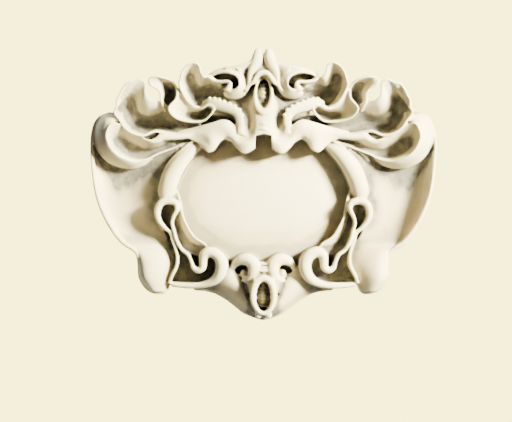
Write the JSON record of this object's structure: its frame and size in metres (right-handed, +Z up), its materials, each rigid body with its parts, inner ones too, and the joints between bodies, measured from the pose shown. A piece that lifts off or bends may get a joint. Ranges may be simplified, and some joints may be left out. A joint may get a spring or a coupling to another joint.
{
  "type": "carved stone cartouche",
  "caption": "Carved stone cartouche with a blank domed field, framed by cupped lobes, rolled volutes, broad wings and masks.",
  "frame": {"origin": "on the flat back, at the middle of the width and height", "axes": "+Y out of the back towards the wall, the carving faces -Y, +X to the right as seen from the front, +Z up"},
  "size_m": [0.7993, 0.1097, 0.6246],
  "materials": {
    "stone": "matt, weathered"
  },
  "bodies": {
    "root": {"cartouche": "stone"}
  },
  "joints": []
}
